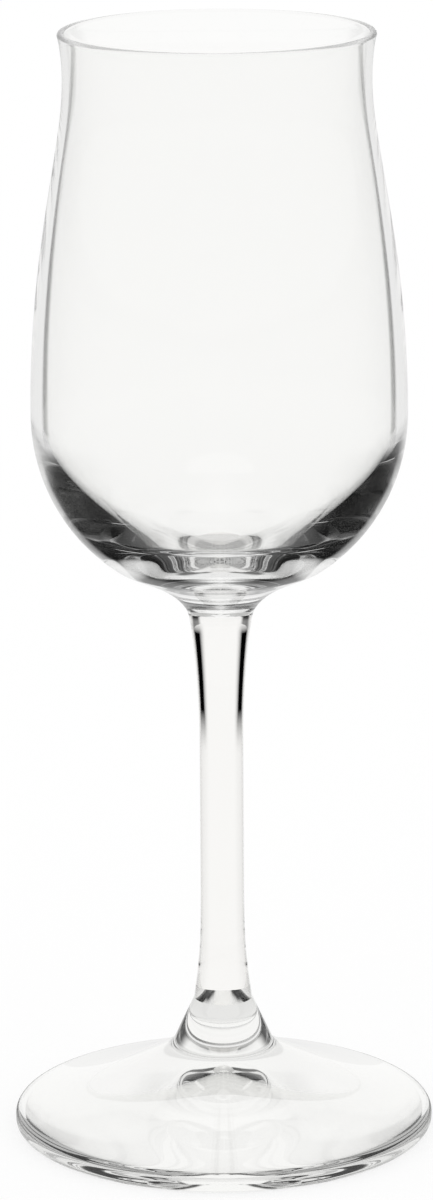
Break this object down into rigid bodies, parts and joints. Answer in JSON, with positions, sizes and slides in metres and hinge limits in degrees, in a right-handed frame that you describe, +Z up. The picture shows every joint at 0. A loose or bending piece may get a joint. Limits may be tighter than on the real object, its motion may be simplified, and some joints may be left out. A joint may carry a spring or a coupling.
{
  "type": "riesling glass",
  "caption": "Stemmed clear wine glass with a tall waisted bowl on a heavy round base, a slender flared stem and a sloping round foot, for riesling and other white wine.",
  "frame": {"origin": "centre of the circle on which the foot stands, at the height of the surface under it", "axes": "+Z up along the axis of the glass; the picture looks along +Y and a little downwards, with +X to the right"},
  "size_m": [0.068, 0.068, 0.1794],
  "materials": {
    "bowl": "clear fire-polished glass",
    "stem": "clear fire-polished glass",
    "foot": "clear fire-polished glass"
  },
  "bodies": {
    "root": {"bowl": "bowl", "stem": "stem", "foot": "foot"}
  },
  "joints": []
}
